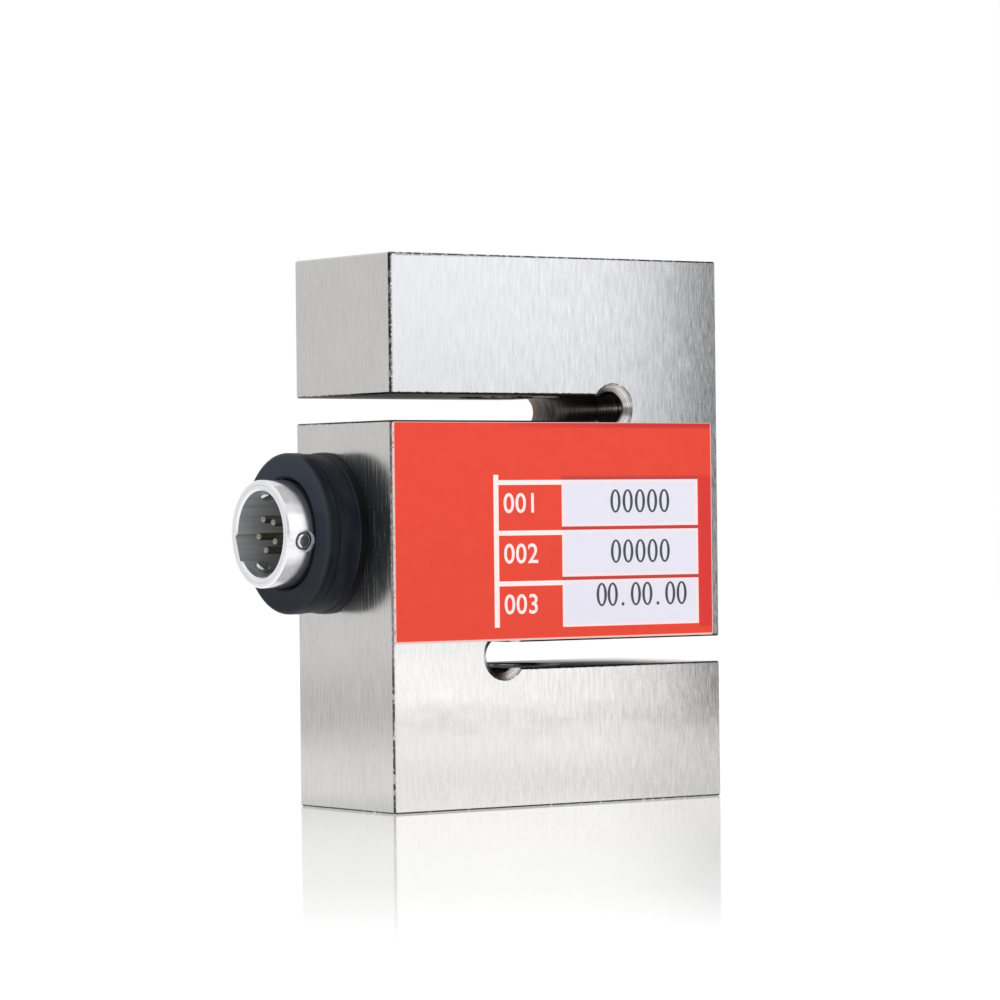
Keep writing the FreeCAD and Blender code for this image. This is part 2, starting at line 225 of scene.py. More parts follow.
# %% Build finishes
class Finish(Graph):
    """A material with a Principled shader, and the nodes that drive it."""

    def __init__(self, name, color, metallic=0.0, roughness=0.5, **uniform):
        self.material = bpy.data.materials.new(name)
        self.material.use_nodes = True
        super().__init__(self.material.node_tree)
        self.shader = self.tree.nodes["Principled BSDF"]
        self.set(Metallic=metallic, Roughness=roughness, **uniform)
        self.set(**{"Base Color": (*color, 1.0)})
        self.material.diffuse_color = (*color, 1.0)

    def set(self, **sockets):
        """Feeds the Principled shader's sockets by name."""
        for name, value in sockets.items():
            self.feed(self.shader.inputs[name.replace("_", " ")], value)

    def bump(self, height, depth):
        """Raises the surface by a height from 0 to 1 times a depth in millimetres."""
        sockets = {"Height": height, "Distance": depth * MM, "Strength": 1.0}
        self.set(Normal=self.node("ShaderNodeBump", None, sockets))

    def dress(self, *names):
        """Puts this finish on pieces of the frame."""
        for name in names:
            nodes[name].data.materials[0] = self.material
        print(self.material.name, "on", len(names), "pieces,", len(self.tree.nodes), "nodes")


# %% [markdown]
# ## Nickel-plated steel
#
# The block is milled, brushed up and down on its large faces, and plated. Brushed metal is three
# things at once: fine grooves that tilt the reflections, a roughness that changes from groove to
# groove, and a slight change of shade. One fine noise, pulled out eleven times along Z, drives all
# three, and a broader one adds strokes. The top and the bottom are ground along X instead. An image
# of brushed metal could do it too, but it would repeat and would have to be fitted to each face.
#
# Where other tools have been the surface differs, so masks pick those places by their distance from the
# CAD shapes: the wire-cut slots are dull and carry painted shade, the drilled relief holes show the rings
# of the drill under painted shade, and their countersinks are bright and freshly turned.

# %% Measure the block
SLOT_PITCH = 28.7
SLOT_HEIGHT = 3.0
RELIEF_REACH = 8.0
RELIEF_RADIUS = 2.0
SINK_REACH = 0.95
MOUTH_RADIUS = 6.4
middle_z = body_middle.z / MM
half_depth = (body_high.y - body_low.y) / 2 / MM
slot_z = [middle_z + side * SLOT_PITCH / 2 for side in (-1, 1)]
relief_x = (-RELIEF_REACH, RELIEF_REACH)
outer_wall = slot_z[0] - SLOT_HEIGHT / 2 - body_low.z / MM
print("slots at", slot_z, "mm; the blocks beyond them are", round(outer_wall, 2), "mm thick")

# %% [markdown]
# The connector's axis is the middle of the collar's box. The block needs it too, for the painted contact
# shade round the collar on its end.

# %% Measure the connector
collar_low, collar_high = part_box("connector_collar")
shell_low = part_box("connector_shell")[0]
port_y = (collar_low.y + collar_high.y) / 2 / MM
port_z = (collar_low.z + collar_high.z) / 2 / MM
collar_radius = (collar_high.z - collar_low.z) / 2 / MM
shell_reach = (body_low.x - shell_low.x) / MM
print("connector's axis at y", round(port_y, 2), "z", round(port_z, 2), "mm")

# %% [markdown]
# The brushing runs a different way on each kind of face, so masks on the way that the surface faces
# tell the level faces, the front and back, and the ends apart.

# %% Brush and plate the block
plated = Finish("plated_body", (0.60, 0.60, 0.595), 1.0, 0.3, Anisotropic=0.45)
at = plated.place()
x, y, z = plated.axes(at)
normal_x, normal_y, normal_z = [abs(wire) for wire in plated.axes(plated.facing())]
level = normal_z > 0.9
front = normal_y > 0.9
end = normal_x > 0.9
upright_grain = plated.noise(at, 7.0, 3.0, (1, 1, 0.09))
level_grain = plated.noise(at, 7.0, 3.0, (0.09, 1, 1))
grain = plated.between(level, upright_grain, level_grain)
strokes = plated.noise(at, 2.6, 2.0, (1, 1, 0.13))
clouds = plated.noise(at, 0.16, 3.0)
print("grain, strokes and clouds:", len(plated.tree.nodes), "nodes")

# %% [markdown]
# The brushing is deepest towards the right of the block, and the ends are nearly smooth. A mottled band
# low on the front is darkened as a painted reflection of the table's edge, and the front's lower right
# gets painted shade.

# %% Shade the brushing
worked = plated.ramp(x, -20.0, 14.0) * (0.5 + plated.ramp(z, 6.0, 16.0) * 0.5)
depth_of_grain = plated.between(end, 0.32 + worked * 0.68, 0.22)
brushing = ((grain - 0.5) * 0.90 + (strokes - 0.5) * 0.62) * depth_of_grain
band_mottle = plated.ramp(plated.noise(at, 0.30, 4.0, (0.5, 1, 1.6)), 0.46, 0.62)
painted_reflection_band = band_mottle * plated.band(z, 8.0, 12.5, 2.0)
painted_corner_shade = plated.ramp(x, 6.0, 22.0) * plated.ramp(z, 12.0, 7.0)
shade = brushing + (clouds - 0.5) * 0.10 + 1.0
# Painted reflection: a mottled dark band low on the front. Painted shade: the front's lower right is
# darker.
shade = shade * (1 - (painted_reflection_band * 0.07 + painted_corner_shade * 0.16) * front)
print("with the brushing's shade:", len(plated.tree.nodes), "nodes")

# %% [markdown]
# The wire-cut slots, the drilled holes and the broken edges each get a mask of their own. They could
# be separate faces with separate materials, but the block is one piece, and masks measured in
# millimetres fall on its edges whatever its triangles are.

# %% Find the slots, holes and edges
half_band = SLOT_HEIGHT / 2 + 0.1
in_slot = 0
for slot_height in slot_z:
    in_slot = in_slot + plated.band(z, slot_height - half_band, slot_height + half_band, 0.02)
slot_wall = in_slot * level
from_hole = plated.math("MINIMUM", *[
    plated.distance(x - hole_x, z - hole_z) for hole_x, hole_z in zip(relief_x, slot_z)])
near_face = abs(y) > half_depth - SINK_REACH
in_bore = (from_hole < RELIEF_RADIUS + 0.1) * (1 - front)
on_countersink = (from_hole < RELIEF_RADIUS + SINK_REACH) * (1 - front) * (1 - in_bore) * near_face
in_thread = (plated.distance(x, y) < MOUTH_RADIUS + 0.05) * (1 - level) * (1 - in_bore)
sharpest = plated.math("MAXIMUM", plated.math("MAXIMUM", normal_x, normal_y), normal_z)
on_edge = (sharpest < 0.85) * (1 - in_bore) * (1 - on_countersink) * (1 - in_thread)
print("with the masks:", len(plated.tree.nodes), "nodes")

# %% [markdown]
# The saw leaves burrs along the slots' rims, and the drill leaves one round each countersink. A burr
# is a distance compared with a noise, so its outline wanders. The lower slot's rim is worn smooth
# towards its open end.

# %% Find the burrs
nibbles = plated.noise(plated.point(x, y), 1.6, 4.0)
lower_slot = z < slot_z[0]
worn_share = plated.ramp(x, 6.0, 24.0)
ragged = 0
for side, slot_height in zip((-1, 1), slot_z):
    from_slot = abs(z - slot_height) - SLOT_HEIGHT / 2
    open_side = plated.ramp(x * side, RELIEF_REACH + 0.5, RELIEF_REACH)
    ragged = ragged + plated.ramp(from_slot - nibbles * 0.42, 0.04, -0.04) * open_side
ragged = ragged * (1 - level) * (1 - end * 0.7) * (1 - worn_share * lower_slot * 0.8)
sink_line = plated.band(from_hole, RELIEF_RADIUS + 0.80, RELIEF_RADIUS + 0.97, 0.06)
sink_line = sink_line * plated.ramp(nibbles, 0.40, 0.54) * near_face
print("with the burrs:", len(plated.tree.nodes), "nodes")

# %% [markdown]
# The front's left corner and top edge get rows of painted shade, broken into dashes and thickest at the
# upper left, and the end face gets a ring of painted contact shade round the collar.

# %% Find the painted edge shade and the collar's contact shade
# Painted shade in dashes along the front's left corner and top edge.
from_corner = x - body_low.x / MM
below_top = body_high.z / MM - z
dashes = plated.ramp(plated.noise(plated.point(z=z), 1.9, 3.0), 0.40, 0.52)
dashes = plated.math("MAXIMUM", dashes, plated.ramp(below_top, 2.4, 1.2))
corner_shade_dashes = plated.ramp(from_corner, 0.50, 0.20) * dashes
thinner = plated.ramp(from_corner, 2.0, 30.0) * 0.25
top_edge_shade = plated.ramp(below_top + thinner, 0.46, 0.22) * plated.ramp(nibbles, 0.36, 0.50)
front_edge_shade = (corner_shade_dashes * (0.20 + plated.ramp(z, 40.0, 50.0) * 0.80) + top_edge_shade * 0.8) * front
# Painted contact shade: a dark ring on the end face round the collar.
from_port = plated.distance(y - port_y, z - port_z)
contact_shade = plated.ramp(from_port, collar_radius + 0.15, collar_radius - 0.05) * end * (x < 0)
print("with the nicks and the grease:", len(plated.tree.nodes), "nodes")

# %% [markdown]
# The edges are broken by hand with a file, so the narrow flat along each is chipped. Its colour is painted
# shade where it faces the dark side of the room, broken by painted glints where a chip catches the light.
# The painted shade lies on the front, the back and the foot, and is softer beside the plate and on the
# lower slot's worn rim.

# %% Colour the edges
# Painted shade on the edges' flats, broken by painted glints.
edge_shade_and_glints = plated.ramp(plated.noise(at, 1.7, 2.0) - (z < 1.0) * 0.07, 0.52, 0.60)
edge_shade_glint_color = plated.tint(edge_shade_and_glints, (0.10, 0.10, 0.10), (0.62, 0.62, 0.62))
beside_plate = plated.band(z, 17.0, 45.0, 3.0) * (from_corner < 1.0)
softened = plated.math("MAXIMUM", beside_plate, worn_share * plated.band(z, 14.0, 17.0))
dark_edges = plated.math("MAXIMUM", (normal_y > 0.3) * (1 - softened * 0.55), z < 1.0)
edge_color = plated.tint(dark_edges, (0.60, 0.60, 0.59), edge_shade_glint_color)
print("with the edges' colour:", len(plated.tree.nodes), "nodes")

# %% [markdown]
# A drill leaves rings round its bore. The bore's colour is painted shade, dark deep inside, with painted
# light at the mouths, where the rings show. A countersink's rings lie in its cone, so their noise reads
# the distance from the hole's axis. The slot walls are painted dark as shade, and the lower slot's floor
# gets painted light towards its open end.

# %% Colour the bores and countersinks
drill_rings = plated.noise(at, 5.0, 2.0, (0.05, 1, 0.05))
turned_rings = plated.noise(plated.point(from_hole), 9.0, 1.0)
rings_seen = plated.ramp(drill_rings, 0.42, 0.58)
# Painted shade deep in the bores, and painted light at both mouths.
bore_color = plated.tint(rings_seen, (0.016, 0.014, 0.013), (0.085, 0.070, 0.062))
lit_mouth_color = plated.tint(rings_seen, (0.030, 0.027, 0.025), (0.34, 0.31, 0.29))
bore_color = plated.tint(plated.ramp(y, -3.0, -8.5), bore_color, lit_mouth_color)
bore_color = plated.tint(plated.ramp(y, 7.0, 10.0), bore_color, (0.20, 0.145, 0.12))
sink_color = plated.tint(plated.ramp(turned_rings, 0.35, 0.65), (0.34, 0.31, 0.30), (0.88, 0.86, 0.84))
# Painted light on the lower slot's floor towards its open end; the slot walls carry painted shade.
lit_slot_floor = plated.ramp(x, 4.0, 24.0) * lower_slot
slot_shade_color = plated.tint(lit_slot_floor, (0.030, 0.027, 0.025), (0.70, 0.69, 0.68))
print("with the holes' colours:", len(plated.tree.nodes), "nodes")

# %% [markdown]
# The masks now lay one colour over another, as a painter would. Under them, the front's plating carries a
# painted tint of its reflections: a little warmer at its foot and cooler above.

# %% Lay the colours
# Painted reflection tint: the front is warmer at its foot and cooler above.
plating = plated.tint(plated.ramp(z, 16.0, 46.0) * front, (0.604, 0.598, 0.586), (0.590, 0.597, 0.616))
color = plated.scaled(plating, shade)
for mask, laid in (
        (on_edge, edge_color),
        (front_edge_shade, (0.030, 0.030, 0.032)),
        (contact_shade, (0.020, 0.020, 0.022)),
        (ragged, (0.050, 0.040, 0.036)),
        (slot_wall, slot_shade_color),
        (in_bore, bore_color),
        (on_countersink, sink_color),
        (sink_line * 0.8, (0.10, 0.085, 0.08))):
    color = plated.tint(mask, color, laid)
plated.set(Base_Color=color)
print("with the colours laid:", len(plated.tree.nodes), "nodes")

# %% [markdown]
# The same masks choose how dull each place is and how its surface is raised. The ends of the block
# are ground finer than its large faces, so they mirror the collar nearly sharply.

# %% Roughen and raise the surface
roughness = 0.25 + (grain - 0.5) * 0.30 + (clouds - 0.5) * 0.10
dull_streaks = plated.ramp(plated.noise(at, 3.4, 3.0, (1, 1, 0.05)), 0.50, 0.72)
roughness = plated.between(end, roughness, 0.18 + (grain - 0.5) * 0.08 + dull_streaks * 0.13)
roughness = plated.between(slot_wall, roughness, 0.5 - lit_slot_floor * 0.38)
roughness = plated.between(in_bore + on_countersink + in_thread, roughness, 0.26)
plated.set(Roughness=roughness)
relief = grain * 0.8 + strokes * 0.8
relief = plated.between(end, relief, grain * 0.5 + strokes * 0.3)
relief = plated.between(in_bore, relief, drill_rings * 3.0)
relief = plated.between(on_countersink, relief, turned_rings * 2.0)
plated.bump(relief, 0.004)
plated.dress("s_body")

# %% [markdown]
# ## The red plate
#
# The plate is pale card or plastic with a red print on its face, so its cut edges and a hair's
# breadth of its rim are pale. The printed table is plain shapes: one upright white line, a white line
# over each row, and a pale field for each value. An image could carry them, but masks made from
# distances to the plate's own corner are cheaper, and they stay sharp at any size.

# %% Measure the red plate
red = Finish("label_red", (0.80, 0.040, 0.014), 0.0, 0.42, Specular_IOR_Level=0.2)
label_low, label_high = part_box("label_plate")
at = red.place()
x, y, z = red.axes(at)
across = x - label_low.x / MM
above = z - label_low.z / MM
label_width = (label_high.x - label_low.x) / MM
label_height = (label_high.z - label_low.z) / MM
ROWS = 3
FADE = 0.3
ROW_PITCH = 5.86
FIELD_LEFT, FIELD_RIGHT = 23.4, 43.4
FIELD_BOTTOM, FIELD_HEIGHT = 1.41, 5.45
UPRIGHT_LEFT, UPRIGHT_RIGHT = 13.7, 14.4
LINE_HEIGHT = 0.56
table_top_edge = FIELD_BOTTOM + ROWS * ROW_PITCH
print("plate", round(label_width, 2), "by", round(label_height, 2), "mm")


def rectangle(left, right, bottom, top, edge=0.05):
    """A printed rectangle, in millimetres from the plate's lower left corner."""
    return red.band(across, left, right, edge) * red.band(above, bottom, top, edge)


# %% [markdown]
# The three rows repeat at one pitch, so a loop adds up their fields and lines. A field is printed a
# little inside its own pale border, and the gap above it is a darker red.

# %% Lay out the table's rows
fields = 0
field_middles = 0
gaps = 0
lines = rectangle(UPRIGHT_LEFT, UPRIGHT_RIGHT, FIELD_BOTTOM + 0.14, table_top_edge + 0.2)
for row in range(ROWS):
    bottom = FIELD_BOTTOM + row * ROW_PITCH
    top = bottom + FIELD_HEIGHT
    fields = fields + rectangle(FIELD_LEFT, FIELD_RIGHT, bottom, top)
    middle = rectangle(FIELD_LEFT + 0.35, FIELD_RIGHT - 0.35, bottom + FADE, top - FADE, FADE)
    field_middles = field_middles + middle
    gaps = gaps + rectangle(FIELD_LEFT, FIELD_RIGHT + 0.1, top, bottom + ROW_PITCH, 0.2)
    row_line = rectangle(UPRIGHT_RIGHT - 0.05, FIELD_LEFT + 0.05, top - LINE_HEIGHT, top)
    lines = red.math("MAXIMUM", lines, row_line)
print(ROWS, "rows:", len(red.tree.nodes), "nodes")

# %% [markdown]
# The plate's borders aren't quite the red of its middle: the strip beside the fields is a darker red, the
# strip along the top edge carries painted shade that deepens to the right, and the cut rim lets the pale
# card show.

# %% Lay out the plate's borders
face = red.axes(red.facing())[1] < -0.9
side_strip = rectangle(FIELD_RIGHT + 0.15, label_width, FIELD_BOTTOM - 0.4, table_top_edge, 0.3)
rim = 1 - rectangle(0.05, label_width - 0.09, 0.22, label_height - 0.06, 0.08)
# Painted shade along the plate's top edge, deeper towards the right.
plate_top_shade = rectangle(16.0, label_width, label_height - 0.62, label_height, 0.25)
plate_top_shade = plate_top_shade * red.ramp(across, 8.0, 34.0)
print("with the borders:", len(red.tree.nodes), "nodes")

# %% [markdown]
# Print is never perfectly even. A weak, large noise moves the red a little, and a fine one gives the
# coat its orange-peel gloss. A third one chips the print at the cut edges.

# %% Colour the plate
mottle = red.noise(at, 0.5, 3.0)
peel = red.noise(at, 3.2, 2.0)
ink = red.tint(mottle, (0.745, 0.043, 0.017), (0.795, 0.056, 0.027))
ink = red.tint(side_strip * 0.85, ink, (0.66, 0.026, 0.022))
ink = red.tint(gaps * 0.9, ink, (0.44, 0.045, 0.042))
ink = red.tint(plate_top_shade, ink, (0.55, 0.026, 0.026))
printed = red.tint(lines, ink, (0.95, 0.80, 0.78))
printed = red.tint(fields, printed, (0.93, 0.74, 0.76))
printed = red.tint(field_middles, printed, (0.755, 0.745, 0.835))
printed = red.tint(rim * 0.85, printed, (0.86, 0.60, 0.56))
chips = red.ramp(red.noise(at, 2.4, 3.0), 0.55, 0.65)
cut_edge = red.tint(chips, (0.84, 0.68, 0.64), (0.62, 0.20, 0.16))
red.set(Base_Color=red.tint(face, cut_edge, printed), Roughness=0.40 + (peel - 0.5) * 0.15)
red.bump(peel * 0.5 + fields * 0.35 + lines * 0.35, 0.006)
red.dress("label_plate")

# %% [markdown]
# ## Black moulded collar
#
# The collar is moulded in a hard rubber. Moulded black is never pure black: it is a very dark blue-grey
# with a fine even grain from the mould, and scuffs make it a little lighter in places. Its front rim
# carries a painted sheen. The collar, the shell and the pins are all round, so their marks are placed by
# the distance from the connector's axis and the distance along it. One helper measures both.

# %% Measure from the connector's axis

def round_port(finish, at):
    """The distance from the connector's axis, and the distance along it out of the block's end."""
    x, y, z = finish.axes(at)
    return finish.distance(y - port_y, z - port_z), body_low.x / MM - x


# %% [markdown]
# The collar has a step near its middle and a low foot against the block, and both carry painted shade. Its
# flat face carries painted light, paler towards the top. One even black would be simpler, but then the
# steps would run together, so the rims, the face and the steps each get a black of their own.

# %% Mould the collar's finish
COLLAR_SHOULDER = 3.8
COLLAR_FOOT = 0.9
black = Finish("collar_black", (0.010, 0.013, 0.018), 0.0, 0.45, Specular_IOR_Level=0.10)
at = black.place()
from_axis, outward = round_port(black, at)
pores = black.noise(at, 9.0, 3.0)
smears = black.noise(at, 0.7, 3.0)
mould_rings = black.noise(black.point(from_axis, outward), 4.0, 1.0)
# Painted sheen on the front rim's rounded edge.
rim_sheen = black.ramp(from_axis, collar_radius - 0.5, collar_radius - 0.05) * black.ramp(outward, 4.9, 5.3)
scuffs = black.ramp(black.noise(at, 0.8, 4.0, (1, 0.3, 0.3)), 0.32, 0.74)
dark = black.tint(scuffs, (0.004, 0.006, 0.010), (0.015, 0.018, 0.025))
on_face = black.ramp(abs(black.axes(black.facing())[0]), 0.5, 0.9)
# Painted light: the flat face is paler towards the top.
height = black.ramp(black.axes(at)[2], port_z - 8, port_z + 3)
rubber_bloom_and_top_light = black.tint(height, (0.008, 0.012, 0.018), (0.026, 0.034, 0.050))
dark = black.tint(on_face * (0.7 + smears * 0.5), dark, rubber_bloom_and_top_light)
dark = black.tint(rim_sheen * 0.5, dark, (0.044, 0.050, 0.062))
# Painted shade in the step and at the foot.
shoulder = black.band(outward, COLLAR_SHOULDER - 0.16, COLLAR_SHOULDER + 0.10, 0.1)
foot = black.band(outward, 0.0, COLLAR_FOOT, 0.2)
dark = black.tint((shoulder + foot) * 0.85 * (1 - on_face), dark, (0.001, 0.001, 0.002))
dust = black.ramp(black.noise(at, 5.0, 4.0), 0.68, 0.74)
black.set(Base_Color=black.tint(dust * 0.35, dark, (0.12, 0.12, 0.13)))
black.set(Roughness=0.44 + (smears - 0.5) * 0.18 + (pores - 0.5) * 0.10)
black.bump(pores * 0.6 + mould_rings * 0.5, 0.008)
black.dress("connector_collar")

# %% [markdown]
# ## Bright shell
#
# The shell is turned from brass and plated. Turning leaves fine rings round the axis, and plating leaves
# faint cloudy patches; near the collar the plating carries painted shade for the black collar's
# reflection. Inside, the bore is lined with the same dull grey-green compound that holds the pins, so a
# mask on the distance from the axis swaps metal for a plain matt surface, drawn along the bore and given
# painted shade below.

# %% Turn and plate the shell
LINING_RADIUS = 5.7
chrome = Finish("shell_chrome", (0.80, 0.80, 0.82), 1.0, 0.12)
at = chrome.place()
from_axis, outward = round_port(chrome, at)
rings = chrome.noise(chrome.point(outward, from_axis), 11.0, 2.0)
patches = chrome.noise(at, 1.1, 3.0)
specks = chrome.noise(at, 6.0, 3.0)
facing_out = abs(chrome.axes(chrome.facing())[0])
in_bore = (from_axis < LINING_RADIUS + 0.02) * (facing_out < 0.5) * (outward > 2.0)
rim_face = (facing_out > 0.5) * (outward > shell_reach - 0.3)
plating = chrome.tint(patches, (0.66, 0.66, 0.69), (0.84, 0.84, 0.86))
plating = chrome.tint(rim_face * 0.8, plating, (0.88, 0.88, 0.91))
draw_lines = chrome.noise(at, 2.2, 3.0, (0.06, 1, 1))
lining = chrome.tint(draw_lines, (0.17, 0.185, 0.195), (0.40, 0.42, 0.41))
# Painted shade on the lower part of the lining.
below = chrome.ramp(chrome.axes(at)[2], port_z - 1.5, port_z - 4.6)
lining = chrome.tint(below * 0.6, lining, (0.10, 0.10, 0.105))
lining_edge = chrome.band(from_axis, LINING_RADIUS - 0.10, LINING_RADIUS, 0.06) * rim_face
plating = chrome.tint(lining_edge * 0.5, plating, (0.45, 0.46, 0.48))
# Painted shade near the collar, standing for its dark reflection in the shell.
collar_shade = chrome.ramp(outward, 7.6, 5.6) * (0.45 + patches * 0.3)
plating = chrome.tint(collar_shade, plating, (0.34, 0.355, 0.39))
print("shell's plating and lining:", len(chrome.tree.nodes), "nodes")

# %% [markdown]
# Three studs are pressed into the shell, and each has a fine dark line round it where it goes in.
# The line is a ring in the plane that touches the shell there, kept to the stud's side of the shell.

# %% Draw the studs' joints and feed the shell's finish
studs = [f"bayonet_stud_{number}" for number in (1, 2, 3)]
joint = 0
for name in studs:
    stud_middle = sum(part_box(name), Vector()) / 2 / MM
    spoke = Vector((0, stud_middle.y - port_y, stud_middle.z - port_z)).normalized()
    tangent = spoke.cross(Vector((1, 0, 0)))
    beside = chrome.along(at, tangent) - tangent.dot(stud_middle)
    beyond = chrome.along(at, spoke) - spoke.dot(stud_middle)
    from_stud = chrome.distance(chrome.axes(at)[0] - stud_middle.x, beside)
    joint = joint + chrome.band(from_stud, 0.90, 1.06, 0.05) * (abs(beyond) < 2.0)
plating = chrome.tint(joint * 0.9, plating, (0.035, 0.038, 0.045))
chrome.set(Base_Color=chrome.tint(in_bore, plating, lining), Metallic=1 - in_bore)
shine = 0.19 + (patches - 0.5) * 0.16 + (specks - 0.5) * 0.08 + rim_face * 0.10
chrome.set(Roughness=chrome.between(in_bore, shine, 0.42))
rounded = (shell_reach - outward) * 21
chrome.bump(rounded + rings * 0.35 + patches * 0.8 + specks * 0.15, 0.006)
chrome.dress("connector_shell")

# %% [markdown]
# Several new pieces are still to come, and each starts as a mesh that bmesh operators shape. One
# helper turns such a mesh into an object with its material.

# %% Make pieces from meshes
def make_piece(name, mesh, material):
    """Turns a finished bmesh into an object of the scene."""
    data = bpy.data.meshes.new(name)
    mesh.to_mesh(data)
    mesh.free()
    data.materials.append(material)
    piece = bpy.data.objects.new(name, data)
    bpy.context.scene.collection.objects.link(piece)
    print(name, "has", len(data.polygons), "faces")
    return piece


# %% [markdown]
# The keyway in the bore is cut with a tapered tool: it is shallow at the mouth, where it shows. The
# frame's keyway has its full depth all along, so a copy of the shell with its keyway eased stands
# in its place. The copy's loose triangles are merged first, and then the keyway's corners, which are
# the only points a little outside the bore, move towards the axis.

# %% Ease the shell's keyway
BORE_RADIUS = 5.03
KEYWAY_SHARE = 0.45


def spoke_to(spot):
    """The way from the connector's axis straight out to a spot."""
    return Vector((0, spot.y - port_y * MM, spot.z - port_z * MM))


mesh = bmesh.new()
mesh.from_mesh(nodes["connector_shell"].data)
bmesh.ops.remove_doubles(mesh, verts=mesh.verts, dist=0.002 * MM)
eased = 0
for vertex in mesh.verts:
    spoke = spoke_to(vertex.co) / MM
    outward_mm = (body_low.x - vertex.co.x) / MM
    in_keyway = BORE_RADIUS + 0.02 < spoke.length < BORE_RADIUS + 0.7 and outward_mm > 4.0
    if in_keyway and (outward_mm < shell_reach - 0.05 or spoke.length > BORE_RADIUS + 0.22):
        wanted = BORE_RADIUS + (spoke.length - BORE_RADIUS) * KEYWAY_SHARE
        vertex.co -= spoke * (1 - wanted / spoke.length) * MM
        eased += 1
turned_shell = make_piece("turned_shell", mesh, chrome.material)
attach(turned_shell, "root")
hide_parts("connector_shell")
print("eased", eased, "of", len(turned_shell.data.vertices), "points of the shell")

# %% [markdown]
# A turned face is smooth round the axis, but the copy's flat facets would show in its reflections.
# Each corner on a turned face therefore gets the direction that the lathe gave it, worked out from
# the axis, and the other faces keep their own.

# %% Smooth the turned faces
def turned_normal(spot, face):
    """The direction of a corner: straight out from the axis where the lathe cut, else the face's."""
    spoke = spoke_to(face.center).normalized()
    out = face.normal.dot(spoke)
    lengthwise = Vector((face.normal.x, 0, 0))
    if (face.normal - spoke * out - lengthwise).length > 0.15:
        return face.normal.copy()
    return (spoke_to(spot).normalized() * out + lengthwise).normalized()


data = turned_shell.data
data.shade_smooth()
directions = [None] * len(data.loops)
for face in data.polygons:
    for corner in face.loop_indices:
        spot = data.vertices[data.loops[corner].vertex_index].co
        directions[corner] = turned_normal(spot, face)
data.normals_split_custom_set(directions)
print("turned", len(directions), "corners of the shell")

# %% [markdown]
# The studs are bright plated steel, and the plug's sleeve has scuffed them. One noise moves both
# their shade and their roughness, because a scuff changes both in the same place.

# %% Turn and plate the studs
bright = Finish("stud_steel", (0.80, 0.80, 0.82), 1.0, 0.13)
at = bright.place()
scuffs = bright.noise(at, 8.0, 3.0)
bright.set(Base_Color=bright.tint(scuffs, (0.62, 0.62, 0.64), (0.84, 0.84, 0.86)))
bright.set(Roughness=0.12 + scuffs * 0.14)
bright.bump(scuffs, 0.004)
bright.dress(*studs)

# %% [markdown]
# ## Insert and pins
#
# The insert is a dull moulded compound. Its colour drifts a little, and a fine bump keeps the
# surface from looking painted.

# %% Mould the insert
grey = Finish("insert_grey", (0.11, 0.12, 0.105), 0.0, 0.55)
at = grey.place()
flow = grey.noise(at, 1.3, 3.0)
grey.set(Base_Color=grey.tint(flow, (0.36, 0.38, 0.36), (0.50, 0.50, 0.46)))
grey.set(Roughness=0.5 + (grey.noise(at, 9.0, 2.0) - 0.5) * 0.2)
grey.bump(grey.noise(at, 11.0, 3.0), 0.008)
grey.dress("pin_insert")

# %% [markdown]
# The pins are brass with a very thin coat of gold. At the tips, where plugs rub, it has worn to a
# dull grey metal. The wear is a mask along the axis, because a plug rubs all five equally deep.

# %% Plate the pins
gold = Finish("pin_plated", (0.80, 0.72, 0.50), 1.0, 0.2)
at = gold.place()
from_axis, outward = round_port(gold, at)
worn = gold.ramp(outward, shell_reach - 1.5, shell_reach - 0.9)
rub = gold.noise(at, 7.0, 3.0, (0.2, 1, 1))
body_gold = gold.tint(rub, (0.32, 0.30, 0.23), (0.50, 0.47, 0.38))
gold.set(Base_Color=gold.tint(worn * 0.9, body_gold, (0.23, 0.23, 0.22)))
gold.set(Roughness=0.16 + rub * 0.14)
gold.bump(rub, 0.003)
gold.dress(*[f"contact_pin_{number}" for number in range(1, 6)])

# %% [markdown]
# ## The pieces inside
#
# Nothing inside shows from outside, but whoever hides the block to look finds each piece in its own
# finish: rolled lid, milky potting, green board, amber gauges and ribbons, and coloured wires. The
# metal lid shows the rollers' lines, and the spring ring a film of oil.

# %% Roll the lid and the ring
rolled = Finish("lid_aluminium", (0.72, 0.72, 0.74), 1.0, 0.3)
at = rolled.place()
roll_lines = rolled.noise(at, 5.0, 3.0, (0.03, 1, 1))
rolled.set(Base_Color=rolled.tint(roll_lines, (0.62, 0.62, 0.64), (0.80, 0.80, 0.82)))
rolled.set(Roughness=0.26 + roll_lines * 0.18)
rolled.bump(roll_lines, 0.004)
rolled.dress("pocket_lid")

spring = Finish("ring_steel", (0.55, 0.55, 0.55), 1.0, 0.35)
at = spring.place()
oiled = spring.noise(at, 3.0, 3.0)
spring.set(Base_Color=spring.tint(oiled, (0.42, 0.42, 0.43), (0.62, 0.62, 0.61)))
spring.set(Roughness=0.28 + oiled * 0.2)
spring.bump(spring.noise(at, 9.0, 2.0), 0.004)
spring.dress("insert_ring")

# %% [markdown]
# Potting compound is poured, so small bubbles stay in it. Cells of a Voronoi pattern make them. The
# seal is soft black rubber with a pale bloom.

# %% Pour the potting and mould the seal
milky = Finish("potting_silicone", (0.74, 0.75, 0.73), 0.0, 0.35)
at = milky.place()
bubbles = milky.node("ShaderNodeTexVoronoi", None, {"Vector": at, "Scale": 0.9})
haze = milky.noise(at, 0.5, 3.0)
milky.set(Base_Color=milky.tint(haze, (0.66, 0.67, 0.65), (0.80, 0.81, 0.79)))
milky.set(Roughness=0.3 + milky.ramp(bubbles, 0.1, 0.2) * 0.1)
milky.bump(milky.ramp(bubbles, 0.05, 0.25) + haze * 0.5, 0.05)
milky.dress("potting_pad")

